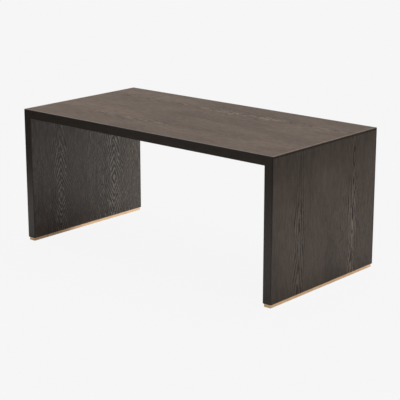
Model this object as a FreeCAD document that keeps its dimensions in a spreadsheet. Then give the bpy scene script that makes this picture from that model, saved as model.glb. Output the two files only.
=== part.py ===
"""Waterfall coffee table: a mitred top and two slab legs in dark stained veneer, on slim metal base plates.

Each panel is a board core with veneer leaves pressed on both faces and a solid lipping on both long edges.
The three panels meet in glued mitres, each held by a loose tongue in stopped grooves.
Under each leg a metal base plate is screwed on from below, set back all round, with felt pads beneath it.

Millimetres. X runs along the table, Y from front to back, Z up.
The origin is on the floor, under the middle of the table.
"""

import FreeCAD, Part
import enum
import os

import Sketcher

SIZES = [
    ("table_length", 1000, "overall length, over both legs"),
    ("table_depth", 500, "overall depth, over both lippings"),
    ("table_height", 435, "floor to table top"),
    ("core_thickness", 28, "board core of each panel"),
    ("veneer_thickness", 0.6, "each veneer leaf"),
    ("lipping_thickness", 3, "solid edge lipping, front and back"),
    ("edge_round", 1.4, "rounded arris along each lipping"),
    ("corner_round", 1.6, "rounded arris over each mitre"),
    ("tongue_width", 22, "loose tongue, across the mitre"),
    ("tongue_thickness", 6, "loose tongue"),
    ("tongue_inset", 16.5, "inner corner of the mitre to the middle of the tongue"),
    ("tongue_stop", 35, "panel edge to the end of the tongue"),
    ("groove_end_gap", 0.5, "free space past each end and each long edge of the tongue"),
    ("groove_side_gap", 0.05, "glue gap on each flat side of the tongue"),
    ("plate_height", 10, "base plate, a flat metal bar"),
    ("plate_setback", 2.6, "leg face to base plate, all round"),
    ("plate_corner", 1.5, "rounded upright corners of the base plate"),
    ("plate_bevel", 0.4, "bevelled long rims of the base plate"),
    ("screw_count", 4, "screws in each base plate"),
    ("screw_end", 60, "table edge to the first screw"),
    ("screw_length", 35, "countersunk screw, over all"),
    ("screw_shank", 4, "screw diameter over the thread"),
    ("screw_head", 8, "screw head diameter"),
    ("screw_tip", 4, "length of the screw's point"),
    ("screw_sink", 0.2, "screw head below the face of the plate"),
    ("screw_gap", 0.1, "clearance round the screw's shank and head"),
    ("pilot_extra", 3, "pilot hole past the screw's point"),
    ("recess_width", 1.1, "arm of the cross recess in the screw head"),
    ("recess_span", 4, "cross recess, end to end"),
    ("recess_depth", 1.4, "cross recess"),
    ("pad_count", 3, "felt pads under each base plate"),
    ("pad_end", 22, "table edge to the middle of the first pad"),
    ("pad_diameter", 16, "felt pad"),
    ("pad_thickness", 2, "felt pad"),
]

LEFT = -1
RIGHT = 1
FRONT = -1
BACK = 1

# Places closer together than this count as one when edges are picked
SAME_PLACE = 0.001


class Point(enum.IntEnum):
    """The order in which a sketch numbers the points of a line, an arc or a circle, from one on."""

    START = enum.auto()
    END = enum.auto()
    MIDDLE = enum.auto()


# Lengths worked out from the sheet, as expressions.
# The mitre's rounding never cuts through the veneer, so it is limited to a share of the veneer's thickness.
HALF_LENGTH = "(Sizes.table_length / 2)"
HALF_DEPTH = "(Sizes.table_depth / 2)"
HEIGHT = "Sizes.table_height"
VENEER = "Sizes.veneer_thickness"
PANEL = "(Sizes.core_thickness + 2 * Sizes.veneer_thickness)"
CORE_DEPTH = "(Sizes.table_depth - 2 * Sizes.lipping_thickness)"
LEAF_WIDTH = f"({CORE_DEPTH} / 2)"
PLATE_TOP = "(Sizes.pad_thickness + Sizes.plate_height)"
MITRE_SLOPE = "sqrt(1 / 2)"
VENEER_ROUND_SHARE = 3
CORNER_ROUND = f"min(Sizes.corner_round; {VENEER_ROUND_SHARE} * Sizes.veneer_thickness)"
CORNER_TIP = f"({CORNER_ROUND} * (1 - {MITRE_SLOPE}))"
TONGUE_LENGTH = "(Sizes.table_depth - 2 * Sizes.tongue_stop)"
PLATE_WIDTH = f"({PANEL} - 2 * Sizes.plate_setback)"
PLATE_LENGTH = "(Sizes.table_depth - 2 * Sizes.plate_setback)"
SCREW_REACH = "(Sizes.table_depth - 2 * Sizes.screw_end)"
PAD_REACH = "(Sizes.table_depth - 2 * Sizes.pad_end)"
HEAD_CONE = "((Sizes.screw_head - Sizes.screw_shank) / 2)"

doc = FreeCAD.newDocument("coffee_table")
sheet = doc.addObject("Spreadsheet::Sheet", "Sizes")
for row, (alias, size, note) in enumerate(SIZES, start=1):
    sheet.set(f"A{row}", alias)
    sheet.set(f"B{row}", str(size))
    sheet.set(f"C{row}", note)
    sheet.setAlias(f"B{row}", alias)
doc.recompute()


def value(expression):
    """The number that an expression on the sheet gives."""
    return float(sheet.evalExpression(str(expression)))


# Shared modelling steps


def new_body(name):
    """A body whose Label names its file."""
    body = doc.addObject("PartDesign::Body", name)
    body.Label = name
    return body


def origin_plane(body, role):
    return next(item for item in body.Origin.OriginFeatures if item.Role == role)


def new_sketch(body, name, role, offset=None):
    """An empty sketch on one of the body's origin planes, moved along its normal by an expression."""
    sketch = body.newObject("Sketcher::SketchObject", name)
    sketch.AttachmentSupport = [(origin_plane(body, role), "")]
    sketch.MapMode = "FlatFace"
    if offset is not None:
        sketch.setExpression("AttachmentOffset.Base.z", offset)
    return sketch


def pin_point(sketch, geometry, end, across, up):
    """Ties one end of a line or arc to the sketch's origin by two expressions."""
    for kind, expression in (("DistanceX", across), ("DistanceY", up)):
        index = sketch.addConstraint(Sketcher.Constraint(kind, -1, 1, geometry, end, value(expression)))
        sketch.setExpression(f"Constraints[{index}]", expression)


def draw_outline(sketch, corners):
    """A closed outline. A corner is (across, up), or (across, up, arc) where an arc runs on to the next corner.

    An arc is (radius, centre across, centre up), each an expression.
    """
    ends = []
    for number, corner in enumerate(corners):
        following = corners[(number + 1) % len(corners)]
        here = FreeCAD.Vector(value(corner[0]), value(corner[1]), 0)
        there = FreeCAD.Vector(value(following[0]), value(following[1]), 0)
        if len(corner) == 2:
            geometry = sketch.addGeometry(Part.LineSegment(here, there), False)
            ends.append((geometry, Point.START, Point.END))
            continue
        radius, centre_across, centre_up = corner[2]
        centre = FreeCAD.Vector(value(centre_across), value(centre_up), 0)
        outward = ((here + there) / 2 - centre).normalize()
        arc = Part.Arc(here, centre + outward * value(radius), there)
        geometry = sketch.addGeometry(arc, False)
        turned = sketch.getPoint(geometry, Point.END).distanceToPoint(here) < SAME_PLACE
        ends.append((geometry, Point.END, Point.START) if turned else (geometry, Point.START, Point.END))
        index = sketch.addConstraint(Sketcher.Constraint("Radius", geometry, value(radius)))
        sketch.setExpression(f"Constraints[{index}]", radius)
    for number, (geometry, first, last) in enumerate(ends):
        next_geometry, next_first, _ = ends[(number + 1) % len(ends)]
        sketch.addConstraint(Sketcher.Constraint("Coincident", geometry, last, next_geometry, next_first))
    for (geometry, first, _), corner in zip(ends, corners):
        pin_point(sketch, geometry, first, corner[0], corner[1])


def draw_circle(sketch, across, up, diameter):
    centre = FreeCAD.Vector(value(across), value(up), 0)
    circle = Part.Circle(centre, FreeCAD.Vector(0, 0, 1), value(diameter) / 2)
    geometry = sketch.addGeometry(circle, False)
    pin_point(sketch, geometry, Point.MIDDLE, across, up)
    index = sketch.addConstraint(Sketcher.Constraint("Diameter", geometry, value(diameter)))
    sketch.setExpression(f"Constraints[{index}]", diameter)


def rectangle(width, height):
    """Corners of a rectangle about the sketch's origin."""
    return [
        (f"-({width}) / 2", f"-({height}) / 2"),
        (f"({width}) / 2", f"-({height}) / 2"),
        (f"({width}) / 2", f"({height}) / 2"),
        (f"-({width}) / 2", f"({height}) / 2"),
    ]


def pad(body, sketch, length, side="One side", reverse=False):
    feature = body.newObject("PartDesign::Pad", "pad")
    feature.Profile = sketch
    feature.SideType = side
    feature.Reversed = reverse
    feature.setExpression("Length", length)
    doc.recompute()
    return feature


def pocket(body, sketch, length, side="One side", reverse=False):
    """A pocket that has to take material away."""
    before = body.Shape.Volume
    feature = body.newObject("PartDesign::Pocket", "pocket")
    feature.Profile = sketch
    feature.SideType = side
    feature.Reversed = reverse
    feature.setExpression("Length", length)
    doc.recompute()
    if body.Shape.Volume >= before:
        raise RuntimeError(f"{body.Label}: the pocket took nothing away")
    return feature


def revolve(body, sketch):
    """A full turn of the sketch about its upright axis."""
    feature = body.newObject("PartDesign::Revolution", "revolution")
    feature.Profile = sketch
    feature.ReferenceAxis = (sketch, ["V_Axis"])
    feature.Angle = 360
    doc.recompute()
    return feature


def repeat_along_depth(body, originals, reach, count):
    """Copies of the features in a row along Y, spread over the reach."""
    body.AllowCompound = True
    pattern = body.newObject("PartDesign::LinearPattern", "row")
    pattern.Originals = originals
    pattern.Direction = (origin_plane(body, "Y_Axis"), [""])
    pattern.setExpression("Length", reach)
    pattern.setExpression("Occurrences", count)
    body.Tip = pattern
    doc.recompute()
    return pattern


def round_edges(body, base, chosen, radius, kind="PartDesign::Fillet", size="Radius"):
    """A fillet or chamfer on the edges of the base feature that the test chooses."""
    names = [f"Edge{number}" for number, edge in enumerate(base.Shape.Edges, start=1) if chosen(edge)]
    if not names:
        raise RuntimeError(f"{body.Label}: found no edge to round")
    feature = body.newObject(kind, "rounding")
    feature.Base = (base, names)
    feature.setExpression(size, radius)
    doc.recompute()
    return feature


def lies_at(edge, axis, position):
    """Whether both ends and the middle of an edge have one coordinate in common."""
    middle = edge.valueAt((edge.FirstParameter + edge.LastParameter) / 2)
    points = [vertex.Point for vertex in edge.Vertexes] + [middle]
    return all(abs(point[axis] - position) < SAME_PLACE for point in points)


# Outlines of a panel's layers in the XZ plane, each between two depths below the panel's outer face


def top_layer(near, far):
    """A layer of the top, mitred at both ends. Only the outermost layer has the rounded arris."""
    inner = f"({HALF_LENGTH} - {far})"
    under = f"({HEIGHT} - {far})"
    if near != "0":
        outer = f"({HALF_LENGTH} - {near})"
        level = f"({HEIGHT} - {near})"
        return [(f"-{outer}", level), (outer, level), (inner, under), (f"-{inner}", under)]
    flat = f"({HALF_LENGTH} - {CORNER_ROUND})"
    tip = f"({HALF_LENGTH} - {CORNER_TIP})"
    tip_level = f"({HEIGHT} - {CORNER_TIP})"
    centre_level = f"({HEIGHT} - {CORNER_ROUND})"
    return [
        (f"-{flat}", HEIGHT),
        (flat, HEIGHT, (CORNER_ROUND, flat, centre_level)),
        (tip, tip_level),
        (inner, under),
        (f"-{inner}", under),
        (f"-{tip}", tip_level, (CORNER_ROUND, f"-{flat}", centre_level)),
    ]


def leg_layer(side, near, far):
    """A layer of a leg, mitred at its head and square at its foot."""
    inner = f"({side} * ({HALF_LENGTH} - {far}))"
    outer = f"({side} * ({HALF_LENGTH} - {near}))"
    head = f"({HEIGHT} - {far})"
    if near != "0":
        return [(outer, f"({HEIGHT} - {near})"), (outer, PLATE_TOP), (inner, PLATE_TOP), (inner, head)]
    flat = f"({HEIGHT} - {CORNER_ROUND})"
    centre = f"({side} * ({HALF_LENGTH} - {CORNER_ROUND}))"
    tip = f"({side} * ({HALF_LENGTH} - {CORNER_TIP}))"
    tip_level = f"({HEIGHT} - {CORNER_TIP})"
    return [
        (outer, flat),
        (outer, PLATE_TOP),
        (inner, PLATE_TOP),
        (inner, head),
        (tip, tip_level, (CORNER_ROUND, centre, flat)),
    ]


def tongue_centre(side):
    """Middle of the loose tongue's section, as (x, z)."""
    along = f"{MITRE_SLOPE} * Sizes.tongue_inset"
    return (
        f"({side} * ({HALF_LENGTH} - {PANEL} + {along}))",
        f"({HEIGHT} - {PANEL} + {along})",
    )


def groove_outline(side):
    """Section of the groove that two mitre faces share, square to the mitre."""
    x, z = tongue_centre(side)
    across = f"{MITRE_SLOPE} * (Sizes.tongue_width / 2 + Sizes.groove_end_gap)"
    along = f"{MITRE_SLOPE} * (Sizes.tongue_thickness / 2 + Sizes.groove_side_gap)"
    return [
        (f"{x} + {side} * ({across} + {along})", f"{z} - {across} + {along}"),
        (f"{x} + {side} * ({across} - {along})", f"{z} - {across} - {along}"),
        (f"{x} - {side} * ({across} + {along})", f"{z} + {across} - {along}"),
        (f"{x} - {side} * ({across} - {along})", f"{z} + {across} + {along}"),
    ]


# Pieces that the three panels have in common


def make_core(name, outline):
    body = new_body(name)
    section = new_sketch(body, "section", "XZ_Plane")
    draw_outline(section, outline)
    pad(body, section, CORE_DEPTH, "Symmetric")
    return body


def cut_groove(body, side):
    section = new_sketch(body, "groove", "XZ_Plane")
    draw_outline(section, groove_outline(side))
    return pocket(body, section, f"{TONGUE_LENGTH} + 2 * Sizes.groove_end_gap", "Symmetric")


def make_leaves(name, outline):
    """The two veneer leaves of one face, joined edge to edge on the table's centre line."""
    for where, side in (("front", FRONT), ("back", BACK)):
        body = new_body(f"{name}_leaf_{where}")
        section = new_sketch(body, "section", "XZ_Plane")
        draw_outline(section, outline)
        pad(body, section, LEAF_WIDTH, reverse=side == BACK)


def make_lippings(name, outline):
    """The solid lippings on a panel's front and back edges, with a rounded arris along their outer rims."""
    for where, side in (("front", FRONT), ("back", BACK)):
        body = new_body(f"{name}_lipping_{where}")
        section = new_sketch(body, "section", "XZ_Plane")
        draw_outline(section, outline)
        blank = pad(body, section, "Sizes.lipping_thickness", reverse=side == BACK)
        outer_face = side * value("Sizes.lipping_thickness")
        round_edges(body, blank, lambda edge: is_arris(edge, outer_face), "Sizes.edge_round")
        body.setExpression("Placement.Base.y", f"{side} * {CORE_DEPTH} / 2")


def is_arris(edge, outer_face):
    """Whether an edge lies along a lipping's outer rim. The mitred ends and the foot stay sharp."""
    box = edge.BoundBox
    slanting = box.XLength > SAME_PLACE and box.ZLength > SAME_PLACE
    mitred_end = slanting and isinstance(edge.Curve, Part.Line)
    at_foot = box.ZMax < value(PLATE_TOP) + SAME_PLACE
    return lies_at(edge, 1, outer_face) and not mitred_end and not at_foot


# The top


def make_top():
    core = make_core("top_core", top_layer(VENEER, f"({PANEL} - {VENEER})"))
    groove = cut_groove(core, RIGHT)
    before = core.Shape.Volume
    mirrored = core.newObject("PartDesign::Mirrored", "both_ends")
    mirrored.Originals = [groove]
    mirrored.MirrorPlane = (origin_plane(core, "YZ_Plane"), [""])
    core.Tip = mirrored
    doc.recompute()
    if core.Shape.Volume >= before:
        raise RuntimeError("the second groove took nothing away")
    make_leaves("top_face", top_layer("0", VENEER))
    make_leaves("top_under", top_layer(f"({PANEL} - {VENEER})", PANEL))
    make_lippings("top", top_layer("0", PANEL))


# The legs


def row_positions(reach, count):
    """Expressions for places spread evenly along Y."""
    number = int(value(count))
    return [f"({reach} * ({step} / ({count} - 1) - 1 / 2))" for step in range(number)]


def make_leg(name, side):
    core = make_core(f"{name}_core", leg_layer(side, VENEER, f"({PANEL} - {VENEER})"))
    cut_groove(core, side)
    pilots = new_sketch(core, "pilots", "XY_Plane", PLATE_TOP)
    for place in row_positions(SCREW_REACH, "Sizes.screw_count"):
        draw_circle(pilots, f"{side} * ({HALF_LENGTH} - {PANEL} / 2)", place, "Sizes.screw_shank + 2 * Sizes.screw_gap")
    reach = "Sizes.screw_sink + Sizes.screw_length + Sizes.pilot_extra - Sizes.plate_height"
    pocket(core, pilots, reach, reverse=True)
    make_leaves(f"{name}_outer", leg_layer(side, "0", VENEER))
    make_leaves(f"{name}_inner", leg_layer(side, f"({PANEL} - {VENEER})", PANEL))
    make_lippings(name, leg_layer(side, "0", PANEL))


# The mitre tongues


def make_tongue(name, side):
    body = new_body(name)
    section = new_sketch(body, "section", "XZ_Plane")
    draw_outline(section, rectangle("Sizes.tongue_width", "Sizes.tongue_thickness"))
    pad(body, section, TONGUE_LENGTH, "Symmetric")
    body.Placement.Rotation = FreeCAD.Rotation(FreeCAD.Vector(0, 1, 0), side * 45)
    x, z = tongue_centre(side)
    body.setExpression("Placement.Base.x", x)
    body.setExpression("Placement.Base.z", z)


# The base plates, their screws and the felt pads


def under_leg(body, side, level):
    """Places a body on the leg's middle line, at a level above the floor."""
    body.setExpression("Placement.Base.x", f"{side} * ({HALF_LENGTH} - {PANEL} / 2)")
    body.setExpression("Placement.Base.z", level)


def make_base_plate(name, side):
    body = new_body(name)
    plan = new_sketch(body, "plan", "XY_Plane")
    draw_outline(plan, rectangle(PLATE_WIDTH, PLATE_LENGTH))
    bar = pad(body, plan, "Sizes.plate_height")
    upright = round_edges(body, bar, lambda edge: not lies_at(edge, 2, edge.Vertexes[0].Z), "Sizes.plate_corner")
    round_edges(body, upright, is_rim, "Sizes.plate_bevel", "PartDesign::Chamfer", "Size")
    countersink(body)
    under_leg(body, side, "Sizes.pad_thickness")


def is_rim(edge):
    """Whether an edge of the bar lies in its upper or lower face."""
    return lies_at(edge, 2, 0) or lies_at(edge, 2, value("Sizes.plate_height"))


def countersink(body):
    """Countersunk screw holes through the plate, from its lower face."""
    before = body.Shape.Volume
    places = new_sketch(body, "screw_places", "XY_Plane")
    hole_size = "Sizes.screw_shank + 2 * Sizes.screw_gap"
    for place in row_positions(SCREW_REACH, "Sizes.screw_count"):
        draw_circle(places, "0", place, hole_size)
    doc.recompute()
    holes = body.newObject("PartDesign::Hole", "screw_holes")
    holes.Profile = places
    doc.recompute()
    holes.DepthType = "ThroughAll"
    holes.HoleCutType = "Countersink"
    holes.HoleCutCustomValues = True
    holes.HoleCutCountersinkAngle = 90
    holes.setExpression("Diameter", hole_size)
    holes.setExpression("HoleCutDiameter", "Sizes.screw_head + 2 * Sizes.screw_gap + 2 * Sizes.screw_sink")
    holes.Reversed = True
    doc.recompute()
    if body.Shape.Volume >= before:
        raise RuntimeError("the screw holes took nothing away")


def make_screws(name, side):
    """Countersunk screws with a cross recess, point up, in a row."""
    body = new_body(name)
    half_section = new_sketch(body, "half_section", "XZ_Plane")
    draw_outline(
        half_section,
        [
            ("0", "0"),
            ("Sizes.screw_head / 2", "0"),
            ("Sizes.screw_shank / 2", HEAD_CONE),
            ("Sizes.screw_shank / 2", "Sizes.screw_length - Sizes.screw_tip"),
            ("0", "Sizes.screw_length"),
        ],
    )
    blank = revolve(body, half_section)
    cross = new_sketch(body, "cross", "XY_Plane")
    draw_outline(cross, cross_outline("Sizes.recess_span", "Sizes.recess_width"))
    recess = pocket(body, cross, "Sizes.recess_depth", reverse=True)
    repeat_along_depth(body, [blank, recess], SCREW_REACH, "Sizes.screw_count")
    body.setExpression("Placement.Base.y", f"-{SCREW_REACH} / 2")
    under_leg(body, side, "Sizes.pad_thickness + Sizes.screw_sink")


def cross_outline(span, width):
    """Corners of an upright cross about the sketch's origin."""
    tip = f"(({span}) / 2)"
    arm = f"(({width}) / 2)"
    quarter = [(arm, f"-{tip}"), (arm, f"-{arm}"), (tip, f"-{arm}")]
    half = quarter + [(tip, arm), (arm, arm), (arm, tip)]
    return half + [(f"-({x})", f"-({y})") for x, y in half]


def make_felt_pads(name, side):
    body = new_body(name)
    plan = new_sketch(body, "plan", "XY_Plane")
    draw_circle(plan, "0", "0", "Sizes.pad_diameter")
    disc = pad(body, plan, "Sizes.pad_thickness")
    repeat_along_depth(body, [disc], PAD_REACH, "Sizes.pad_count")
    body.setExpression("Placement.Base.y", f"-{PAD_REACH} / 2")
    under_leg(body, side, "0")


make_top()
for leg, end in (("left_leg", LEFT), ("right_leg", RIGHT)):
    make_leg(leg, end)
    make_tongue(leg.replace("leg", "mitre_tongue"), end)
    make_base_plate(leg.replace("leg", "base_plate"), end)
    make_screws(leg.replace("leg", "base_screws"), end)
    make_felt_pads(leg.replace("leg", "felt_pads"), end)
doc.recompute()

# Checks and files
for item in doc.Objects:
    if "Invalid" in item.State or "Error" in item.State:
        raise RuntimeError(f"{item.Label} failed: {item.State}")
bodies = [item for item in doc.Objects if item.TypeId == "PartDesign::Body"]
for body in bodies:
    if body.Shape.isNull() or not body.Shape.isValid():
        raise RuntimeError(f"{body.Label} has no valid shape")
os.makedirs("parts", exist_ok=True)
for body in bodies:
    body.Shape.exportStep(os.path.join("parts", f"{body.Label}.step"))
    box = body.Shape.BoundBox
    litres = body.Shape.Volume / 1e6
    print(f"{body.Label}: {len(body.Shape.Solids)} solid(s), {litres:.4f} l, x {box.XMin:.2f} to {box.XMax:.2f},"
          f" y {box.YMin:.2f} to {box.YMax:.2f}, z {box.ZMin:.2f} to {box.ZMax:.2f}")
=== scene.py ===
"""Waterfall coffee table in dark stained veneer: finishes, felt pads, studio and camera.

The table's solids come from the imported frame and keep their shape. This file gives each of them its finish,
makes the felt pads afresh, and sets the table in a plain studio at the photograph's angle.
Lengths are in metres. X runs along the table, Y from front to back, Z up.
"""

import math
import typing

import bmesh
import bpy
from mathutils import Matrix, Vector, noise


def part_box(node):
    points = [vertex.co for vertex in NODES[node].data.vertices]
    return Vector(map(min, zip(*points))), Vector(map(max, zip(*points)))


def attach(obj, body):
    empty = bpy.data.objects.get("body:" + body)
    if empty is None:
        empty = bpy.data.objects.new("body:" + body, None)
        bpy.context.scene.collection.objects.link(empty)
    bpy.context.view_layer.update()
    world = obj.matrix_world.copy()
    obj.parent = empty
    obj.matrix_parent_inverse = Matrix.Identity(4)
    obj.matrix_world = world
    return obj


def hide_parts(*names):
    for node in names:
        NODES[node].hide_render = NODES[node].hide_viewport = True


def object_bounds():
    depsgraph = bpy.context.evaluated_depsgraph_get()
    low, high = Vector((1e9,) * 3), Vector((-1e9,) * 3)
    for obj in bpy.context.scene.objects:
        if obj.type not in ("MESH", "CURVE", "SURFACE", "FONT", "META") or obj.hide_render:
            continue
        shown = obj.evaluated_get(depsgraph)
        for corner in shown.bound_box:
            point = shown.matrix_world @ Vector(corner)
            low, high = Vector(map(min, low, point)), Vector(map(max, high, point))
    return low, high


bl_info = {
    "name": "Waterfall coffee table",
    "version": (1, 0, 0),
    "blender": (4, 5, 0),
    "location": "3D View > Sidebar > Coffee table",
    "description": "Finishes, felt pads and studio for a mitred coffee table",
    "category": "Object",
}

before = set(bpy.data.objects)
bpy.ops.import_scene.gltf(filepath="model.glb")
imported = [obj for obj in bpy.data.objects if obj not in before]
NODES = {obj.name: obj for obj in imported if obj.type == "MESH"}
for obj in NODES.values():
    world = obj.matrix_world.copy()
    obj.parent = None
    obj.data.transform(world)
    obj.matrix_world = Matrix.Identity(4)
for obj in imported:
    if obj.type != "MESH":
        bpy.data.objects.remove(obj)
CAD_LOW, CAD_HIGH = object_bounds()
BODY = "root"

# Sizes that the grain and the floor follow, read from the solids
HALF_LENGTH = CAD_HIGH.x
HEIGHT = CAD_HIGH.z
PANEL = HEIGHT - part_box("top_under_leaf_front")[0].z

# Turns about Y that bring a face's own directions to (along the grain, across, out of the face)
FLAT = 0.0
DOWN_LEFT = math.radians(90)
DOWN_RIGHT = math.radians(-90)


def length(name, description, default, smallest=0.0):
    return bpy.props.FloatProperty(name=name, description=description, default=default, min=smallest,
                                   subtype="DISTANCE", unit="LENGTH", precision=5)


def spot(name, description, default):
    """A place on an axis, on either side of the table's middle."""
    return bpy.props.FloatProperty(name=name, description=description, default=default, subtype="DISTANCE",
                                   unit="LENGTH")


def share(name, description, default, largest=1.0):
    return bpy.props.FloatProperty(name=name, description=description, default=default, min=0.0, max=largest)


def colour(name, description, default):
    return bpy.props.FloatVectorProperty(name=name, description=description, default=default, size=3,
                                         min=0.0, max=1.0, subtype="COLOR")


def angle(name, description, degrees):
    return bpy.props.FloatProperty(name=name, description=description, default=math.radians(degrees),
                                   subtype="ANGLE", unit="ROTATION")


def course(name, description, default):
    return bpy.props.FloatVectorProperty(name=name, description=description, default=default, size=3,
                                         subtype="DIRECTION")


class VeneerSettings(bpy.types.PropertyGroup):
    """Stain, grain and lacquer of the veneer leaves and lippings, and the light and shade painted into their
    colour.
    """

    late_wood: colour("Late wood", "Stained colour of the dense wood on the outer faces",
                      (0.342, 0.262, 0.208))
    early_wood: colour("Early wood", "Stained colour of the open wood on the outer faces",
                       (0.0475, 0.0325, 0.0238))
    # Beside the wood's own colour, the inner faces' greyer pale wood is partly painted sheen on the ridges
    inner_late: colour("Late wood inside", "Stained colour of the dense wood on the inner faces",
                       (0.31, 0.266, 0.222))
    inner_early: colour("Early wood inside", "Stained colour of the open wood on the inner faces",
                        (0.059, 0.031, 0.015))
    pore: colour("Pores", "Colour at the bottom of the pores", (0.022, 0.016, 0.013))
    lipping: colour("Lipping", "Stained colour of the solid lippings", (0.098, 0.078, 0.064))
    # Painted shade: the lippings darken in a thin rim along their outer arris
    rim_width: length("Rim width", "Width of the dark rim at the lippings' outer arris", 0.0025, 0.0001)
    rim_shade: share("Rim tone", "Tone of that rim beside the rest of the lipping", 0.5)
    lipping_gloss: share("Lipping gloss", "Specular level of the lippings' lacquer", 0.4047)
    lipping_roughness: share("Lipping roughness", "Roughness of the lippings' lacquer", 0.2979)
    narrowing: length("Narrowing", "Distance from a crown at which rings are a third as wide", 0.16, 0.001)
    heart_depth: length("Depth at an eye", "Distance from the log's heart where a crown closes", 0.0045)
    arch_tip: length("Arch tip", "Rounding of the arches' tips", 0.0028)
    edge_contrast: share("Edge contrast", "How far rings stand out beside the crown", 0.20)
    eye_reach: length("Reach of an eye", "Distance from an eye at which the heart is halfway down",
                      0.24, 0.001)
    eye_round: length("Eye rounding", "Length over which the arches turn round at an eye", 0.028, 0.0001)
    eye_width: share("Width at an eye", "Width of the figure at an eye, as a share of its width elsewhere",
                     0.42)
    eye_flare: length("Flare", "Distance from an eye over which the figure reaches its full width",
                      0.075, 0.001)
    calm: share("Calm wood", "How far rings stand out where the wood isn't lively", 0.22)
    waviness: share("Waviness", "How far the rings wander from a clean curve, in ring widths", 1.7, 5.0)
    sway: length("Sway", "How far the crown wanders sideways", 0.024)
    jitter: share("Jitter", "How ragged the rings' rims are, as a share of a ring", 0.95)
    # Light and shade painted into the veneer's colour at the mitres: a painted highlight on each mitre's
    # arris, a painted shade line just below it, painted shade down the head of each leg, and a painted sheen
    # that makes the top paler towards its left end
    fold_width: length("Fold width", "Width of the rubbed arris over a mitre, and of the line below it",
                       0.0045, 0.0001)
    arris_highlight: share("Fold paleness", "Tone of the rubbed arris beside the veneer", 1.8, 3.0)
    # Painted shade: a dark line on the leg just below the arris
    painted_shade_line: share("Fold darkness", "Tone of the dark line beside the veneer", 0.22)
    # Painted shade: the leg is darker for a while below each mitre
    head_shade: share("Tone at the head", "Tone of the stain at the head of a leg, beside the rest", 0.76)
    head_reach: length("Reach of the head", "Distance below a mitre at which the stain has its usual tone",
                       0.12)
    # Painted sheen: the top is paler towards its left end
    left_end_sheen: share("Faded tone", "Tone of the faded stain at the left end of the top", 1.14, 3.0)
    left_sheen_end: spot("Faded to", "Where along the top the fading ends", 0.05)
    pore_length: length("Pore length", "Length of a pore along the grain", 0.012, 0.0001)
    pore_width: length("Pore width", "Width of a pore across the grain", 0.0007, 0.0001)
    pore_depth: length("Pore depth", "Depth of the pores in the lippings", 0.00012)
    relief: length("Relief", "Height of the dense wood over the brushed-out open wood", 0.00025)
    top_gloss: share("Top gloss", "Specular level of the matt lacquer on the top", 0.2136)
    top_roughness: share("Top roughness", "Roughness of the lacquer on the top", 0.75)
    outer_gloss: share("Outer gloss", "Specular level of the lacquer on the legs' outer faces", 0.23)
    inner_gloss: share("Inner gloss", "Specular level of the lacquer on the inner faces, never wiped", 0.6843)
    roughness: share("Roughness", "Roughness of the lacquer on the legs and under the top", 0.3813)


class MetalSettings(bpy.types.PropertyGroup):
    """Base plates and screws."""

    copper: colour("Copper tone", "Colour of the base plates", (1.0, 0.68, 0.41))
    copper_roughness: share("Plate roughness", "Roughness of the satin base plates", 0.34)
    zinc: colour("Zinc", "Colour of the screws", (0.62, 0.62, 0.60))
    zinc_roughness: share("Screw roughness", "Roughness of the screws", 0.28)


class BoardSettings(bpy.types.PropertyGroup):
    """Cores and tongues, which show only at the feet and in the joints."""

    board: colour("Core board", "Colour of the fibreboard cores", (0.42, 0.28, 0.165))
    ply: colour("Tongue plywood", "Colour of the mitre tongues", (0.62, 0.46, 0.29))


class FeltSettings(bpy.types.PropertyGroup):
    """Felt pads under the base plates."""

    felt: colour("Felt", "Colour of the pressed felt", (0.52, 0.50, 0.46))
    pads_in_row: bpy.props.IntProperty(name="Pads in a row", description="Felt pads under each base plate",
                                       default=3, min=1)
    rim_round: length("Rim rounding", "Rounding of a pad's rims", 0.0005)
    fuzz: length("Fuzz", "Unevenness of the felt's cut edge", 0.00012)


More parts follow.
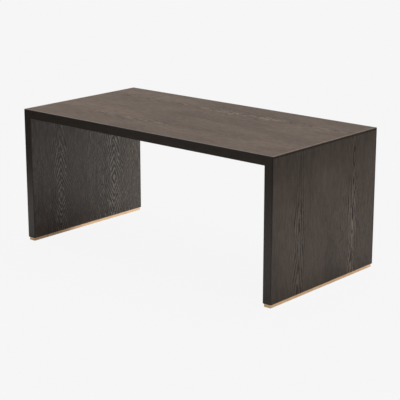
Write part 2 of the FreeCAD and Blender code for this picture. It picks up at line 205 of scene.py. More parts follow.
class StudioSettings(bpy.types.PropertyGroup):
    """Floor, light and camera."""

    backdrop: colour("Backdrop", "Floor and background as the camera sees them", (0.922, 0.922, 0.922))
    left_bounce: share("Left bounce", "Grey of the paper at the left leg as it lights the table", 0.3487)
    right_bounce: share("Right bounce", "Grey of the paper at the right leg as it lights the table", 1.0)
    foot_bounce: share("Bounce at a foot", "Share of its light that the floor close to a leg sends back",
                       0.2364)
    foot_reach: length("Reach of a foot", "Distance from a leg at which the floor sends all its light back",
                       0.22)
    room_bounce: share("Room bounce", "Grey of the floor before the paper as it lights the table", 0.0467)
    paper_end: spot("Paper end", "Where the paper starts to end, in front", -0.28)
    paper_fade: length("Paper fade", "Distance over which the paper's light falls off", 0.20)
    shadow_share: share("Shadow", "Share of the floor's brightness that the table's shadow can take", 0.02)
    mirrored_shadow: share("Mirrored shadow", "The same share for the floor as glossy surfaces mirror it",
                           0.89)
    end_mirror: share("Mirror at the end", "Brightness of the floor that the left plate's end mirrors", 0.42)
    right_mirror: share("Right mirror", "Brightness of the mirrored paper at the right leg, beside the left",
                        0.865)
    plate_strip: length("Strip by a plate", "Width of the lighter strip of floor beside the left base plate",
                        0.045)
    strip_light: share("Strip light", "How much of the mirrored shadow that strip is spared, behind", 0.81)
    side_near: length("Paper's side", "Where the mirrored paper starts to darken, from the middle", 0.98)
    side_far: length("Room beside", "Where the mirrored room starts, beside the paper", 1.1991)
    front_near: length("Paper's front", "Where the mirrored paper starts to darken, in front", 0.5590)
    front_far: length("Room in front", "Where the mirrored room starts, in front", 1.4712)
    mirror_room: share("Room in the mirror", "Brightness of the room as glossy surfaces mirror it", 0.1172)
    floor_size: length("Floor size", "Width of the floor", 120.0)
    overhead: share("Overhead light", "Strength of the soft light above", 2.61, 20.0)
    overhead_width: angle("Overhead width", "Angle that the soft light above fills", 59.0)
    overhead_course: course("Overhead course", "Direction in which the light above shines",
                            (0.0179, -0.26, -1.0))
    fill: share("Fill light", "Strength of the even light all round", 0.137, 5.0)
    fill_tone: colour("Fill tone", "Colour of the even light all round", (1.0, 0.95, 0.88))
    lens: bpy.props.FloatProperty(name="Lens", description="Focal length for a 36 mm wide frame",
                                  default=116.86, min=1.0, subtype="DISTANCE_CAMERA")
    position: bpy.props.FloatVectorProperty(name="Camera position", description="Where the camera stands",
                                            default=(2.5801, -2.9322, 1.2439), size=3,
                                            subtype="TRANSLATION", unit="LENGTH")
    turn: angle("Camera turn", "Camera's turn about the upright axis", 41.101)
    tilt: angle("Camera tilt", "How far the camera looks down", 15.326)


class Value:
    """An output of a node. Sums, products and the like of values become Math nodes."""

    def __init__(self, nodes, socket):
        self.nodes = nodes
        self.socket = socket

    def __add__(self, other):
        return self.nodes.math("ADD", self, other)

    def __radd__(self, other):
        return self.nodes.math("ADD", other, self)

    def __sub__(self, other):
        return self.nodes.math("SUBTRACT", self, other)

    def __rsub__(self, other):
        return self.nodes.math("SUBTRACT", other, self)

    def __mul__(self, other):
        return self.nodes.math("MULTIPLY", self, other)

    def __truediv__(self, other):
        return self.nodes.math("DIVIDE", self, other)

    def __abs__(self):
        return self.nodes.math("ABSOLUTE", self)


class Pattern(typing.NamedTuple):
    """Noise: its features per metre, levels of finer detail and their strength.

    Coordinates are first multiplied by its factors, so a factor below 1 draws the features out.
    """

    scale: float
    detail: float
    roughness: float = 0.5
    factors: tuple = (1, 1, 1)


# Places of the two colours and of the result among a Mix node's sockets
FIRST_COLOUR = 6
SECOND_COLOUR = 7
MIXED_COLOUR = 2

WHITE = (1.0, 1.0, 1.0)


class Nodes:
    """A node tree whose nodes are added one step at a time."""

    def __init__(self, tree):
        self.tree = tree
        self.tree.nodes.clear()

    def node(self, kind, settings=None, **sockets):
        """A node with its settings and sockets set. A socket takes a number, a colour or an output."""
        node = self.tree.nodes.new(kind)
        for key, setting in (settings or {}).items():
            setattr(node, key, setting)
        for key, given in sockets.items():
            self.put(node.inputs[key.replace("_", " ")], given)
        return node

    def put(self, socket, given):
        if isinstance(given, Value):
            given = given.socket
        if isinstance(given, bpy.types.NodeSocket):
            self.tree.links.new(given, socket)
        elif socket.type == "RGBA":
            socket.default_value = (*given, 1.0)
        else:
            socket.default_value = given

    def math(self, operation, first, second=0.0, clamp=False):
        node = self.node("ShaderNodeMath", {"operation": operation, "use_clamp": clamp})
        self.put(node.inputs[0], first)
        self.put(node.inputs[1], second)
        return Value(self, node.outputs[0])

    def place(self):
        """Object coordinates."""
        return Value(self, self.node("ShaderNodeTexCoord").outputs["Object"])

    def parts(self, vector):
        """The X, Y and Z of a vector."""
        apart = self.node("ShaderNodeSeparateXYZ", Vector=vector)
        return tuple(Value(self, output) for output in apart.outputs)

    def mapped(self, vector, location=(0, 0, 0), turn=(0, 0, 0), scale=(1, 1, 1)):
        node = self.node("ShaderNodeMapping", Vector=vector, Location=location, Rotation=turn, Scale=scale)
        return Value(self, node.outputs["Vector"])

    def noise(self, vector, pattern):
        """Noise from 0 to 1."""
        if pattern.factors != (1, 1, 1):
            vector = self.mapped(vector, scale=pattern.factors)
        node = self.node("ShaderNodeTexNoise", Vector=vector, Scale=pattern.scale, Detail=pattern.detail,
                         Roughness=pattern.roughness)
        return Value(self, node.outputs["Fac"])

    def wander(self, vector, pattern):
        """Noise from -0.5 to 0.5."""
        return self.noise(vector, pattern) - 0.5

    def spread(self, value, low, high, start=0.0, end=1.0):
        """Maps low..high to start..end, smoothly and clamped."""
        node = self.node("ShaderNodeMapRange", {"interpolation_type": "SMOOTHSTEP"}, Value=value,
                         From_Min=low, From_Max=high, To_Min=start, To_Max=end)
        return Value(self, node.outputs["Result"])

    def blend(self, portion, first, second):
        node = self.node("ShaderNodeMix", {"data_type": "RGBA"}, Factor=portion)
        self.put(node.inputs[FIRST_COLOUR], first)
        self.put(node.inputs[SECOND_COLOUR], second)
        return Value(self, node.outputs[MIXED_COLOUR])

    def scaled(self, tone, level):
        """A colour times a number."""
        node = self.node("ShaderNodeVectorMath", {"operation": "SCALE"}, Scale=level)
        self.put(node.inputs[0], tone)
        return Value(self, node.outputs[0])

    def bump(self, height, distance, strength=1.0):
        node = self.node("ShaderNodeBump", Height=height, Distance=distance, Strength=strength)
        return Value(self, node.outputs["Normal"])

    def seen_directly(self):
        """1 for camera, glossy and transmission rays, 0 for rays that carry light between surfaces."""
        rays = self.node("ShaderNodeLightPath").outputs
        seen = rays["Is Camera Ray"]
        for kind in ("Is Glossy Ray", "Is Transmission Ray"):
            seen = self.math("MAXIMUM", seen, rays[kind])
        return seen


class Finish(Nodes):
    """A material."""

    def __init__(self, name):
        self.material = bpy.data.materials.new(name)
        self.material.use_nodes = True
        super().__init__(self.material.node_tree)
        self.output = self.node("ShaderNodeOutputMaterial")

    def show(self, shader):
        self.tree.links.new(shader, self.output.inputs["Surface"])


class Coating(Finish):
    """A material of one surface shader."""

    def __init__(self, name):
        super().__init__(name)
        self.surface = self.node("ShaderNodeBsdfPrincipled")
        self.show(self.surface.outputs["BSDF"])

    def set(self, **sockets):
        """Sets sockets of the surface shader."""
        for key, given in sockets.items():
            self.put(self.surface.inputs[key.replace("_", " ")], given)


def dress(node_name, finish):
    """Gives a CAD node one material."""
    mesh = NODES[node_name].data
    mesh.materials.clear()
    mesh.materials.append(finish.material)


def darker(tone, portion):
    return tuple(portion * part for part in tone)


# Parts of a noise's range that a tone, a mix of two colours and a roughness follow
TONE_RANGE = (0.25, 0.75)
MIX_RANGE = (0.3, 0.7)
ROUGHNESS_RANGE = (0.2, 0.8)


def along_grain(slender, scale, detail, roughness=0.5):
    """Noise drawn out along the grain. Slender is the width of its features over their length."""
    return Pattern(scale, detail, roughness, (slender, 1, 1))


RIPPLE = along_grain(0.18, 48.0, 3, 0.55)
JITTER = along_grain(0.35, 170.0, 2, 0.6)
DASHES = along_grain(0.28, 105.0, 2, 0.7)
STREAKS = along_grain(0.03, 260.0, 3, 0.6)
BANDS = along_grain(0.05, 75.0, 1)
CLOUDS = along_grain(0.35, 11.0, 2)
LIPPING_STREAKS = along_grain(0.03, 420.0, 3, 0.6)
SWAY = Pattern(4.0, 1, factors=(1, 0.3, 0.3))
# From ring to ring, so its scale is in features per ring
RING_TONES = Pattern(0.9, 1)

# Parts of a noise's range that dashes, pale bands, dark bands and the tones of rings follow
DASH_RANGE = (0.36, 0.64)
PALE_BAND_RANGE = (0.62, 0.74)
DARK_BAND_RANGE = (0.28, 0.40)
RING_TONE_RANGE = (0.35, 0.65)

# Where a ring's pale ridge and dark furrow start, are full, start to fade and end, as shares of the ring
RIDGE = (0.30, 0.68, 0.82, 1.0)
FURROW = (0.0, 0.14, 0.22, 0.50)
# Strength of the dullest ring's ridge beside the palest one's
DULLEST_RING = 0.65
# Share of dense wood in plain wood, about which the rings swing
PLAIN_WOOD = 0.22
# How much denser than plain wood the wood beside a furrow is, as a share of the furrow's depth
FURROW_LIFT = 0.08
# How far from plain wood the share of dense wood must be for the stain's palest or darkest tone
FULL_TONE = 0.4
# Share of the figure's half width over which it is at its strongest
CROWN_CORE = 0.5
# Density of the pores in dense wood, how much open wood adds, how sharp their rims are, and how deep they are
# in the veneer as a share of its relief
PORE_EDGE = 0.66
OPEN_PORES = 0.10
PORE_SHARPNESS = 9.0
PORE_RELIEF = 0.6


def hump(finish, value, limits):
    """Rises from 0 to 1 between the first two limits and falls back to 0 between the last two."""
    low, full, fading, high = limits
    return finish.spread(value, low, full) * finish.spread(value, fading, high, 1.0, 0.0)


def ring_count(finish, grain, wood, leaf, beside, past_eye):
    """Number of rings between the log's heart and a place in the leaf.

    The heart lies close under the leaf at each eye and falls away from it on both sides, quickly at first, so
    the rings stand upright at the leaf's edges and meet in pointed arches over the crown.
    """
    eased = past_eye * past_eye / (past_eye + wood.eye_round)
    fall = eased / (eased + wood.eye_reach)
    ripple = finish.wander(grain, RIPPLE) * (wood.waviness * leaf.ring)
    depth = fall * leaf.swing + wood.heart_depth + ripple
    far = beside * (1.0 + beside / wood.narrowing) + depth
    return far / leaf.ring + finish.wander(grain, JITTER) * wood.jitter


def growth_rings(finish, grain, wood, leaf):
    """Share of dense wood, from 0 in open wood to 1 in the densest, over flat-sawn wood.

    Rings stand out most at the crown, where they are cut flat, and along the leaf where the wood is lively.
    """
    along, across, _ = finish.parts(grain)
    across = across + finish.wander(grain, SWAY) * wood.sway
    beside = finish.math("SQRT", across * across + wood.arch_tip * wood.arch_tip)
    past_eye = finish.math("PINGPONG", along - leaf.eye, leaf.spacing / 2)
    count = ring_count(finish, grain, wood, leaf, beside, past_eye)

    ring = finish.math("FRACT", count)
    ring_row = finish.node("ShaderNodeCombineXYZ", X=count).outputs["Vector"]
    ring_tone = finish.spread(finish.noise(ring_row, RING_TONES), *RING_TONE_RANGE, DULLEST_RING, 1.0)
    lights = hump(finish, ring, RIDGE) * ring_tone - PLAIN_WOOD
    darks = hump(finish, ring, FURROW) - FURROW_LIFT
    figure = lights * leaf.pale - darks * leaf.dark

    half_width = finish.spread(past_eye, 0.0, wood.eye_flare, leaf.width * wood.eye_width, leaf.width)
    at_crown = finish.spread(beside / half_width, CROWN_CORE, 1.0, 1.0, wood.edge_contrast)
    from_lively = finish.math("PINGPONG", along - leaf.lively, leaf.lively_spacing / 2)
    lively = finish.spread(from_lively, leaf.lively_reach / 2, leaf.lively_reach, 1.0, wood.calm)
    return figure * at_crown * lively + PLAIN_WOOD


# Steps of the painted highlight, the painted shade line and the painted shade at a leg's head beside a mitre,
# in fold widths past it
ARRIS_STARTS = -1.5
ARRIS_FULL = -1.0
LINE_STARTS = 0.25
LINE_FULL = 0.5
LINE_ENDS = 1.0
HEAD_STARTS = 2.0


def painted_light_tones(finish, grain, wood):
    """Tones of light and shade painted along a run of grain.

    A painted highlight lies on the arris over each mitre, a painted shade line just below it, and painted
    shade for a while down the leg. Towards the left end of the top a painted sheen makes the veneer a little
    paler.
    """
    along, _, _ = finish.parts(grain)
    past = abs(along) - HALF_LENGTH
    width = wood.fold_width
    return (
        finish.spread(past, ARRIS_STARTS * width, ARRIS_FULL * width, 1.0, wood.arris_highlight),
        finish.spread(past, 0.0, LINE_STARTS * width, 1.0, 1.0 / wood.arris_highlight),
        finish.spread(past, LINE_STARTS * width, LINE_FULL * width, 1.0, wood.painted_shade_line),
        finish.spread(past, LINE_ENDS * width, HEAD_STARTS * width, 1.0, wood.head_shade / wood.painted_shade_line),
        finish.spread(past, HEAD_STARTS * width, wood.head_reach, 1.0, 1.0 / wood.head_shade),
        finish.spread(along, -HALF_LENGTH, wood.left_sheen_end, wood.left_end_sheen, 1.0),
    )


def pores_in(finish, grain, wood, edge):
    """1 at the bottom of a pore and 0 beside it."""
    pattern = along_grain(wood.pore_width / wood.pore_length, 1 / wood.pore_width, 2, 0.6)
    return finish.math("MULTIPLY", finish.noise(grain, pattern) - edge, PORE_SHARPNESS, clamp=True)


def varied(finish, value, limits, swing):
    """A tone that swings about 1 as a value goes from the first limit to the second."""
    return finish.spread(value, *limits, 1.0 - swing, 1.0 + swing)


class Stain(typing.NamedTuple):
    """Colours of the open and dense wood on one face, and the lacquer over them."""

    early: tuple
    late: tuple
    gloss: float
    roughness: float


# How much smoother and rougher than their mean the lacquer is on the veneer, and on the lippings
VENEER_ROUGHNESS = (-0.05, 0.07)
LIPPING_ROUGHNESS = (-0.03, 0.05)
# How far the streaks in the lippings change their tone, and stand out beside the pores' depth
LIPPING_SWING = 0.22
LIPPING_RELIEF = 0.2


def veneer(name, wood, face, leaf, stain):
    """Stained flat-sawn veneer, with the open wood brushed out between the rings."""
    finish = Coating(name)
    grain = finish.mapped(finish.place(), location=(face.along, -leaf.crown, face.level),
                          turn=(0, face.turn, 0))
    late = growth_rings(finish, grain, wood, leaf)
    pore = pores_in(finish, grain, wood, PORE_EDGE - (1.0 - late) * OPEN_PORES)
    streak = finish.noise(grain, STREAKS)
    band = finish.noise(grain, BANDS)

    tones = (
        varied(finish, late, (PLAIN_WOOD - FULL_TONE, PLAIN_WOOD + FULL_TONE), leaf.contrast),
        varied(finish, finish.noise(grain, DASHES), DASH_RANGE, leaf.dashes),
        varied(finish, streak, TONE_RANGE, leaf.streaks),
        finish.spread(band, *PALE_BAND_RANGE, 1.0, 1.0 + leaf.bands),
        finish.spread(band, *DARK_BAND_RANGE, 1.0 - leaf.bands, 1.0),
        varied(finish, finish.noise(grain, CLOUDS), TONE_RANGE, leaf.clouds),
        # Painted highlight, painted shade and painted sheen along the outer run
        *painted_light_tones(finish, grain, wood),
    )
    tone = math.prod(tones[1:], start=tones[0])
    shaded = finish.scaled(finish.blend(late, stain.early, stain.late), tone)
    smoothest, roughest = (stain.roughness + step for step in VENEER_ROUGHNESS)
    finish.set(
        Base_Color=finish.blend(pore, shaded, wood.pore),
        Roughness=finish.spread(streak, *ROUGHNESS_RANGE, smoothest, roughest),
        Specular_IOR_Level=stain.gloss,
        Normal=finish.bump(late - pore * PORE_RELIEF, wood.relief),
    )
    return finish


def lipping_wood(name, wood, turn):
    """Straight-grained solid wood for the lippings, stained darker than the veneer, with painted shade at its
    rim.
    """
    finish = Coating(name)
    place = finish.place()
    grain = finish.mapped(place, turn=(0, turn, 0))
    streak = finish.noise(grain, LIPPING_STREAKS)
    pore = pores_in(finish, grain, wood, PORE_EDGE)
    x, _, _ = finish.parts(place)
    # Painted shade along the outer arris, towards the lippings' ends
    rim = HALF_LENGTH - wood.rim_width
    painted_rim_shade = finish.spread(abs(x), rim - wood.rim_width / 2, rim, 1.0, wood.rim_shade)
    shaded = finish.scaled(wood.lipping, varied(finish, streak, TONE_RANGE, LIPPING_SWING) * painted_rim_shade)
    smoothest, roughest = (wood.lipping_roughness + step for step in LIPPING_ROUGHNESS)
    finish.set(
        Base_Color=finish.blend(pore, shaded, wood.pore),
        Roughness=finish.spread(streak, *ROUGHNESS_RANGE, smoothest, roughest),
        Specular_IOR_Level=wood.lipping_gloss,
        Normal=finish.bump(streak * LIPPING_RELIEF - pore, wood.pore_depth),
    )
    return finish


class Face(typing.NamedTuple):
    """Where the grain starts on a face: turn about Y, shift along the grain, shift out of the face."""

    turn: float
    along: float
    level: float


# The outer faces share one run of grain that folds over both mitres, and so do the inner faces. These are the
# distances along the two runs from the middle of the table to the floor.
OUTER_RUN = HALF_LENGTH + HEIGHT
INNER_RUN = HALF_LENGTH + HEIGHT - 2 * PANEL
# How much further along the grain the inner run lies, so that its noise isn't the outer run's
INNER_OFFSET = 3.0
FACES = {
    "top_face": Face(FLAT, 0.0, -HEIGHT),
    "left_leg_outer": Face(DOWN_LEFT, -OUTER_RUN, -HALF_LENGTH),
    "right_leg_outer": Face(DOWN_RIGHT, OUTER_RUN, -HALF_LENGTH),
    "top_under": Face(FLAT, INNER_OFFSET, -HEIGHT),
    "left_leg_inner": Face(DOWN_LEFT, INNER_OFFSET - INNER_RUN, -HALF_LENGTH),
    "right_leg_inner": Face(DOWN_RIGHT, INNER_OFFSET + INNER_RUN, -HALF_LENGTH),
}


class Leaf(typing.NamedTuple):
    """Figure of one veneer leaf, in metres along and across its grain, and shares of its tone.

    Its crown runs beside the table's middle. The arches close at an eye, and again every spacing. Swing is
    how far the log's heart falls away between eyes, ring the width of a ring, and width half the figure's.
    The wood is lively as far as its reach from one place, and again every lively spacing. Pale and dark say
    how far ridges and furrows stand out, and contrast how far the tone follows them. The rest are swings of
    the tone in small dashes, fine streaks, pale and dark bands, and wide clouds.
    """

    crown: float
    eye: float
    spacing: float
    swing: float
    ring: float
    width: float
    lively: float
    lively_spacing: float
    lively_reach: float
    pale: float
    dark: float
    contrast: float
    dashes: float
    streaks: float
    bands: float
    clouds: float


OUTER_LEAVES = {
    "front": Leaf(crown=-0.126, eye=-0.10, spacing=1.05, swing=0.067, ring=0.0115, width=0.030,
                  lively=-0.134, lively_spacing=0.98, lively_reach=0.24,
                  pale=0.18, dark=0.42, contrast=0.10, dashes=0.12, streaks=0.06, bands=0.08, clouds=0.17),
    "back": Leaf(crown=0.135, eye=0.115, spacing=0.4533, swing=0.062, ring=0.0092, width=0.024,
                 lively=0.08, lively_spacing=0.74, lively_reach=0.20,
                 pale=0.28, dark=1.30, contrast=0.32, dashes=0.12, streaks=0.06, bands=0.08, clouds=0.17),
}
# Beside real figure, the inner leaves' bold pale ridges are partly painted light: they stand in for grazing
# light on the brushed relief
INNER_LEAVES = {
    "front": Leaf(crown=-0.128, eye=INNER_OFFSET - 0.742, spacing=0.74, swing=0.222, ring=0.0122, width=0.034,
                  lively=INNER_OFFSET - 0.70, lively_spacing=0.74, lively_reach=0.17,
                  pale=1.8, dark=0.9, contrast=0.12, dashes=0.38, streaks=0.10, bands=0.45, clouds=0.14),
    "back": Leaf(crown=0.118, eye=INNER_OFFSET - 0.730, spacing=0.80, swing=0.222, ring=0.0130, width=0.036,
                 lively=INNER_OFFSET - 0.738, lively_spacing=0.80, lively_reach=0.6,
                 pale=3.0, dark=1.2, contrast=0.45, dashes=0.38, streaks=0.10, bands=0.45, clouds=0.14),
}


def veneer_faces(context, faces, leaves, stain):
    """Gives both leaves of each face their veneer."""
    for face in faces:
        for where, leaf in leaves.items():
            name = f"{face}_leaf_{where}"
            dress(name, veneer(name, context.scene.coffee_table_veneer, FACES[face], leaf, stain))


def inner_stain(wood):
    return Stain(wood.inner_early, wood.inner_late, wood.inner_gloss, wood.roughness)


class VeneerTop(bpy.types.Operator):
    """Veneer the top's upper and lower faces"""

    bl_idname = "coffee_table.veneer_top"
    bl_label = "Veneer the top"

    def execute(self, context):
        wood = context.scene.coffee_table_veneer
        stain = Stain(wood.early_wood, wood.late_wood, wood.top_gloss, wood.top_roughness)
        veneer_faces(context, ["top_face"], OUTER_LEAVES, stain)
        veneer_faces(context, ["top_under"], INNER_LEAVES, inner_stain(wood))
        return {"FINISHED"}


class VeneerLegs(bpy.types.Operator):
    """Veneer the outer and inner faces of both legs"""

    bl_idname = "coffee_table.veneer_legs"
    bl_label = "Veneer the legs"

    def execute(self, context):
        wood = context.scene.coffee_table_veneer
        stain = Stain(wood.early_wood, wood.late_wood, wood.outer_gloss, wood.roughness)
        veneer_faces(context, ["left_leg_outer", "right_leg_outer"], OUTER_LEAVES, stain)
        veneer_faces(context, ["left_leg_inner", "right_leg_inner"], INNER_LEAVES, inner_stain(wood))
        return {"FINISHED"}


class StainLippings(bpy.types.Operator):
    """Stain the solid lippings along the front and back edges"""

    bl_idname = "coffee_table.stain_lippings"
    bl_label = "Stain the lippings"

    def execute(self, context):
        wood = context.scene.coffee_table_veneer
        along = lipping_wood("lipping_along", wood, FLAT)
        upright = lipping_wood("lipping_upright", wood, DOWN_RIGHT)
        for where in ("front", "back"):
            dress(f"top_lipping_{where}", along)
            dress(f"left_leg_lipping_{where}", upright)
            dress(f"right_leg_lipping_{where}", upright)
        return {"FINISHED"}


BOARD_FIBRES = Pattern(900.0, 3, 0.7)
BOARD_FLECKS = Pattern(260.0, 2)
FLECK_RANGE = (0.60, 0.74)
# Tones of the darkest fibres and of the flecks beside the board's own
FIBRE_SHADE = 0.78
FLECK_SHADE = 0.45
BOARD_ROUGHNESS = (0.82, 0.95)
# The tongue's surface grain runs along Y
PLY_GRAIN = Pattern(500.0, 3, factors=(1, 0.05, 1))
PLY_SHADE = 0.8
PLY_ROUGHNESS = (0.70, 0.82)
BOARD_RELIEF = 0.0001


def fibreboard(board):
    """Raw fibreboard: even, with fine fibres and darker flecks."""
    finish = Coating("core_board")
    place = finish.place()
    fibres = finish.noise(place, BOARD_FIBRES)
    flecks = finish.spread(finish.noise(place, BOARD_FLECKS), *FLECK_RANGE)
    matted = finish.blend(finish.spread(fibres, *MIX_RANGE), darker(board.board, FIBRE_SHADE), board.board)
    finish.set(
        Base_Color=finish.blend(flecks, matted, darker(board.board, FLECK_SHADE)),
        Roughness=finish.spread(fibres, *ROUGHNESS_RANGE, *BOARD_ROUGHNESS),
        Specular_IOR_Level=0.25,
        Normal=finish.bump(fibres, BOARD_RELIEF),
    )
    return finish


def plywood(board):
    """Birch plywood with fine grain along the tongue."""
    finish = Coating("tongue_plywood")
    grain = finish.noise(finish.place(), PLY_GRAIN)
    finish.set(
        Base_Color=finish.blend(finish.spread(grain, *MIX_RANGE), darker(board.ply, PLY_SHADE), board.ply),
        Roughness=finish.spread(grain, *ROUGHNESS_RANGE, *PLY_ROUGHNESS),
        Normal=finish.bump(grain, BOARD_RELIEF),
    )
    return finish


class FinishCores(bpy.types.Operator):
    """Finish the board cores and the mitre tongues"""

    bl_idname = "coffee_table.finish_cores"
    bl_label = "Finish cores and tongues"

    def execute(self, context):
        board = context.scene.coffee_table_board
        raw = fibreboard(board)
        for name in ("top_core", "left_leg_core", "right_leg_core"):
            dress(name, raw)
        ply = plywood(board)
        for name in ("left_mitre_tongue", "right_mitre_tongue"):
            dress(name, ply)
        return {"FINISHED"}


METAL_CLOUDS = Pattern(38.0, 2)
# Tone of the clouds beside the metal's own
CLOUD_SHADE = 0.90
# Fine brushing along Y, long on the plates and short on the screws
BRUSHED_PLATE = Pattern(5200.0, 2, factors=(1, 0.01, 1))
BRUSHED_SCREW = Pattern(5200.0, 2, factors=(1, 0.5, 1))
BRUSHED_DEPTH = 0.00002
BRUSHED_STRENGTH = 0.6
# How much smoother and rougher than its mean the metal is
METAL_ROUGHNESS = (-0.05, 0.07)


def satin_metal(name, tone, roughness, brushing):
    """Satin metal with fine brushing and a faint unevenness of tone."""
    finish = Coating(name)
    place = finish.place()
    lines = finish.noise(place, brushing)
    clouds = finish.spread(finish.noise(place, METAL_CLOUDS), *MIX_RANGE)
    smoothest, roughest = (roughness + step for step in METAL_ROUGHNESS)
    finish.set(
        Base_Color=finish.blend(clouds, darker(tone, CLOUD_SHADE), tone),
        Metallic=1.0,
        Roughness=finish.spread(lines, *TONE_RANGE, smoothest, roughest),
        Normal=finish.bump(lines, BRUSHED_DEPTH, BRUSHED_STRENGTH),
    )
    return finish


class FinishBasePlates(bpy.types.Operator):
    """Give the base plates their satin copper tone"""

    bl_idname = "coffee_table.finish_base_plates"
    bl_label = "Finish the base plates"

    def execute(self, context):
        metal = context.scene.coffee_table_metal
        copper = satin_metal("copper_toned_plate", metal.copper, metal.copper_roughness, BRUSHED_PLATE)
        for name in ("left_base_plate", "right_base_plate"):
            dress(name, copper)
        return {"FINISHED"}


class FinishScrews(bpy.types.Operator):
    """Give the screws their zinc plating"""

    bl_idname = "coffee_table.finish_screws"
    bl_label = "Finish the screws"

    def execute(self, context):
        metal = context.scene.coffee_table_metal
        zinc = satin_metal("zinc_screw", metal.zinc, metal.zinc_roughness, BRUSHED_SCREW)
        for name in ("left_base_screws", "right_base_screws"):
            dress(name, zinc)
        return {"FINISHED"}


FELT_FIBRES = Pattern(3200.0, 4, 0.75)
FELT_TUFTS = Pattern(700.0, 2)
# Parts of a noise's range over which fibres go from dark to pale, and tufts from the fibres' tone to dark
FIBRE_RANGE = (0.32, 0.68)
TUFT_RANGE = (0.35, 0.75)
# Tone of the dark felt beside its own, and how dark the tufts get between the two
DARK_FELT = 0.62
DARK_TUFTS = 0.5
FELT_ROUGHNESS = (0.90, 1.0)
FELT_DEPTH = 0.0003
# Sides of a pad's outline, steps of its rounded rims, and features per metre of its uneven edge
PAD_SIDES = 72
RIM_STEPS = 3
EDGE_SCALE = 900.0
# Angles between faces past which an edge is a pad's rim, and past which it shows as sharp
RIM_ANGLE = math.radians(60)
SHARP_ANGLE = math.radians(40)


def felt_finish(felt):
    """Pressed wool felt: matted fibres of a few tones."""
    finish = Coating("felt")
    place = finish.place()
    fibres = finish.noise(place, FELT_FIBRES)
    tufts = finish.spread(finish.noise(place, FELT_TUFTS), *TUFT_RANGE, 0.0, DARK_TUFTS)
    dark = darker(felt.felt, DARK_FELT)
    tone = finish.blend(finish.spread(fibres, *FIBRE_RANGE), dark, felt.felt)
    finish.set(
        Base_Color=finish.blend(tufts, tone, dark),
        Roughness=finish.spread(fibres, *ROUGHNESS_RANGE, *FELT_ROUGHNESS),
        Specular_IOR_Level=0.15,
        Sheen_Weight=0.4,
        Normal=finish.bump(fibres, FELT_DEPTH),
    )
    return finish


def felt_disc(bm, centre, radius, low, high, felt):
    """One pad: a disc with rounded rims and a slightly uneven cut edge."""
    made = bmesh.ops.create_cone(
        bm, cap_ends=True, cap_tris=False, segments=PAD_SIDES, radius1=radius, radius2=radius,
        depth=high - low, matrix=Matrix.Translation((centre.x, centre.y, (low + high) / 2)),
    )
    verts = set(made["verts"])
    rims = [edge for edge in bm.edges if edge.verts[0] in verts and edge.calc_face_angle(0.0) > RIM_ANGLE]
    rounded = bmesh.ops.bevel(bm, geom=rims, offset=felt.rim_round, offset_type="OFFSET", segments=RIM_STEPS,
                              profile=0.5, affect="EDGES", material=-1, clamp_overlap=True)
    verts = {vert for vert in verts if vert.is_valid} | set(rounded["verts"])
    for vert in verts:
        out = Vector((vert.co.x - centre.x, vert.co.y - centre.y, 0.0))
        if out.length < radius / 2:
            continue
        rough = noise.noise(vert.co * EDGE_SCALE) - 1.0
        vert.co += out.normalized() * felt.fuzz * rough


class MakeFeltPads(bpy.types.Operator):
    """Make the felt pads under both base plates"""

    bl_idname = "coffee_table.make_felt_pads"
    bl_label = "Make the felt pads"

    def execute(self, context):
        felt = context.scene.coffee_table_felt
        finish = felt_finish(felt)
        for side in ("left", "right"):
            node = f"{side}_felt_pads"
            low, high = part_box(node)
            radius = (high.x - low.x) / 2
            bm = bmesh.new()
            for number in range(felt.pads_in_row):
                share_along = number / max(felt.pads_in_row - 1, 1)
                y = low.y + radius + share_along * (high.y - low.y - 2 * radius)
                felt_disc(bm, Vector((low.x + radius, y, 0.0)), radius, low.z, high.z, felt)
            bmesh.ops.recalc_face_normals(bm, faces=bm.faces)
            mesh = bpy.data.meshes.new(f"{side}_felt_discs")
            bm.to_mesh(mesh)
            bm.free()
            mesh.shade_smooth()
            mesh.set_sharp_from_angle(angle=SHARP_ANGLE)
            mesh.materials.append(finish.material)
            piece = bpy.data.objects.new(f"{side}_felt_discs", mesh)
            context.scene.collection.objects.link(piece)
            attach(piece, BODY)
            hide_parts(node)
        return {"FINISHED"}


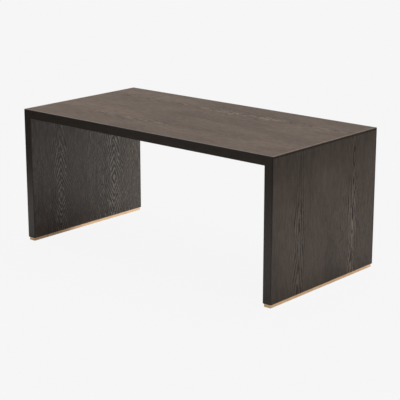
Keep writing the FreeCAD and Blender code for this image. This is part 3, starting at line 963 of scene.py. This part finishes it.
class Floor(Finish):
    """Pale floor, even right up to the horizon, with a soft shadow, and clear from below.

    The camera sees it evenly pale. As it lights the table, and as glossy surfaces mirror it, it is a sheet of
    paper that ends in a darker room. Close to a leg it sends back less light. In the mirror it has a lighter
    strip beside the left base plate and a dim patch before that plate's front end.
    """

    def __init__(self, studio):
        super().__init__("studio_floor")
        self.studio = studio
        self.plate_low, self.plate_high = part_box("left_base_plate")
        self.x, self.y, _ = self.parts(self.place())
        by_camera = self.node("ShaderNodeLightPath").outputs["Is Camera Ray"]
        seen = self.seen_directly()
        level = self.math("MAXIMUM", by_camera, self.mirrored_level())
        # The lamps give the floor this share of its level, which a shadow takes away, and the rest glows
        from_lamps = self.spread(by_camera, 0.0, 1.0, self.shadow_in_mirror(), studio.shadow_share)

        seen_grey = self.scaled(studio.backdrop, level * from_lamps)
        matt = self.node("ShaderNodeBsdfDiffuse",
                         Color=self.blend(seen, self.scaled(WHITE, self.bounced_level()), seen_grey))
        glow = self.node("ShaderNodeEmission", Color=studio.backdrop,
                         Strength=seen * level * (1.0 - from_lamps))
        both = self.node("ShaderNodeAddShader")
        self.put(both.inputs[0], matt.outputs[0])
        self.put(both.inputs[1], glow.outputs[0])
        from_below = self.node("ShaderNodeNewGeometry").outputs["Backfacing"]
        switch = self.node("ShaderNodeMixShader", Fac=from_below)
        self.put(switch.inputs[1], both.outputs[0])
        self.put(switch.inputs[2], self.node("ShaderNodeBsdfTransparent").outputs[0])
        self.show(switch.outputs[0])

    def across_table(self, left, right):
        """A value that changes from the left leg to the right."""
        return self.spread(self.x, -HALF_LENGTH, HALF_LENGTH, left, right)

    def bounced_level(self):
        """Grey of the floor as it lights the table: darker in front of the paper, and close beside a leg."""
        studio = self.studio
        paper = self.across_table(studio.left_bounce, studio.right_bounce)
        from_leg = abs(abs(self.x) - HALF_LENGTH)
        by_leg = self.spread(from_leg, 0.0, studio.foot_reach, studio.foot_bounce, 1.0)
        return self.spread(self.y, studio.paper_end - studio.paper_fade, studio.paper_end,
                           studio.room_bounce, paper * by_leg)

    def mirrored_level(self):
        """Brightness of the mirrored floor: the paper, and the room beside it and in front of it."""
        studio = self.studio
        paper = self.across_table(1.0, studio.right_mirror)
        beside = self.spread(abs(self.x), studio.side_near, studio.side_far, 1.0, studio.mirror_room)
        before = self.spread(self.y, -studio.front_far, -studio.front_near, studio.mirror_room, 1.0)
        return paper * (beside * before) * self.dim_at_plate_end()

    def from_plate(self):
        """Distance along X from the middle of the left base plate."""
        return abs(self.x - (self.plate_low.x + self.plate_high.x) / 2)

    def shadow_in_mirror(self):
        """Share of its level that mirrored floor loses in shadow, less beside the left plate's rear half."""
        strip_width = self.studio.plate_strip
        plate_edge = (self.plate_high.x - self.plate_low.x) / 2
        strip = self.spread(self.from_plate(), plate_edge + strip_width / 2, plate_edge + strip_width,
                            self.studio.strip_light, 0.0)
        behind = self.spread(self.y, self.plate_low.y / 2, 0.0)
        return (1.0 - strip * behind) * self.studio.mirrored_shadow

    def dim_at_plate_end(self):
        """Brightness of the patch that the left plate's front end mirrors, beside the rest of the floor."""
        strip_width = self.studio.plate_strip
        plate_width = self.plate_high.x - self.plate_low.x
        front = self.plate_low.y
        beside = self.spread(self.from_plate(), plate_width, 2 * plate_width)
        before = self.spread(self.y, front - strip_width, front - strip_width / 2, 1.0, 0.0)
        behind = self.spread(self.y, front, front + strip_width / 4)
        elsewhere = self.math("MAXIMUM", beside, self.math("MAXIMUM", before, behind))
        return self.math("MAXIMUM", self.studio.end_mirror, elsewhere)


def set_floor(scene, studio):
    bm = bmesh.new()
    bmesh.ops.create_grid(bm, x_segments=1, y_segments=1, size=studio.floor_size / 2)
    mesh = bpy.data.meshes.new("studio_floor")
    bm.to_mesh(mesh)
    bm.free()
    mesh.materials.append(Floor(studio).material)
    floor = bpy.data.objects.new("studio_floor", mesh)
    scene.collection.objects.link(floor)


def set_world(scene, studio):
    """Even light all round, and a pale background wherever it is seen directly."""
    scene.world = bpy.data.worlds.new("studio")
    scene.world.use_nodes = True
    nodes = Nodes(scene.world.node_tree)
    tone = nodes.blend(nodes.seen_directly(), darker(studio.fill_tone, studio.fill), studio.backdrop)
    background = nodes.node("ShaderNodeBackground", Color=tone)
    nodes.node("ShaderNodeOutputWorld", Surface=background.outputs[0])


def set_overhead_light(scene, studio):
    """A wide, soft light from far away."""
    lamp = bpy.data.lights.new("overhead_light", "SUN")
    lamp.energy = studio.overhead
    lamp.angle = studio.overhead_width
    holder = bpy.data.objects.new("overhead_light", lamp)
    holder.rotation_euler = Vector(studio.overhead_course).to_track_quat("-Z", "Y").to_euler()
    scene.collection.objects.link(holder)


# Width in millimetres of the frame that the lens is given for
FRAME_WIDTH = 36.0


def set_camera(scene, studio):
    camera = bpy.data.cameras.new("camera")
    camera.sensor_width = FRAME_WIDTH
    camera.lens = studio.lens
    camera.clip_end = studio.floor_size
    holder = bpy.data.objects.new("camera", camera)
    holder.location = studio.position
    holder.rotation_euler = (math.radians(90) - studio.tilt, 0.0, studio.turn)
    scene.collection.objects.link(holder)
    scene.camera = holder


class SetStage(bpy.types.Operator):
    """Set the floor, the light and the camera"""

    bl_idname = "coffee_table.set_stage"
    bl_label = "Set the stage"

    def execute(self, context):
        scene = context.scene
        studio = scene.coffee_table_studio
        set_floor(scene, studio)
        set_world(scene, studio)
        set_overhead_light(scene, studio)
        set_camera(scene, studio)
        scene.view_settings.view_transform = "Standard"
        return {"FINISHED"}


OPERATORS = (VeneerTop, VeneerLegs, StainLippings, FinishCores, FinishBasePlates, FinishScrews, MakeFeltPads,
             SetStage)
SETTINGS = {
    "coffee_table_veneer": VeneerSettings,
    "coffee_table_metal": MetalSettings,
    "coffee_table_board": BoardSettings,
    "coffee_table_felt": FeltSettings,
    "coffee_table_studio": StudioSettings,
}


class CoffeeTablePanel(bpy.types.Panel):
    """Steps and settings of the coffee table."""

    bl_idname = "VIEW3D_PT_coffee_table"
    bl_label = "Coffee table"
    bl_space_type = "VIEW_3D"
    bl_region_type = "UI"
    bl_category = "Coffee table"

    def draw(self, context):
        for operator in OPERATORS:
            self.layout.operator(operator.bl_idname)
        for name, settings in SETTINGS.items():
            box = self.layout.box()
            for key in settings.__annotations__:
                box.prop(getattr(context.scene, name), key)


CLASSES = (*SETTINGS.values(), *OPERATORS, CoffeeTablePanel)


def register():
    for item in CLASSES:
        bpy.utils.register_class(item)
    for name, settings in SETTINGS.items():
        setattr(bpy.types.Scene, name, bpy.props.PointerProperty(type=settings))


def unregister():
    for name in SETTINGS:
        delattr(bpy.types.Scene, name)
    for item in reversed(CLASSES):
        bpy.utils.unregister_class(item)


def main():
    register()
    bpy.ops.coffee_table.veneer_top()
    bpy.ops.coffee_table.veneer_legs()
    bpy.ops.coffee_table.stain_lippings()
    bpy.ops.coffee_table.finish_cores()
    bpy.ops.coffee_table.finish_base_plates()
    bpy.ops.coffee_table.finish_screws()
    bpy.ops.coffee_table.make_felt_pads()
    bpy.ops.coffee_table.set_stage()


if __name__ == "__main__":
    main()
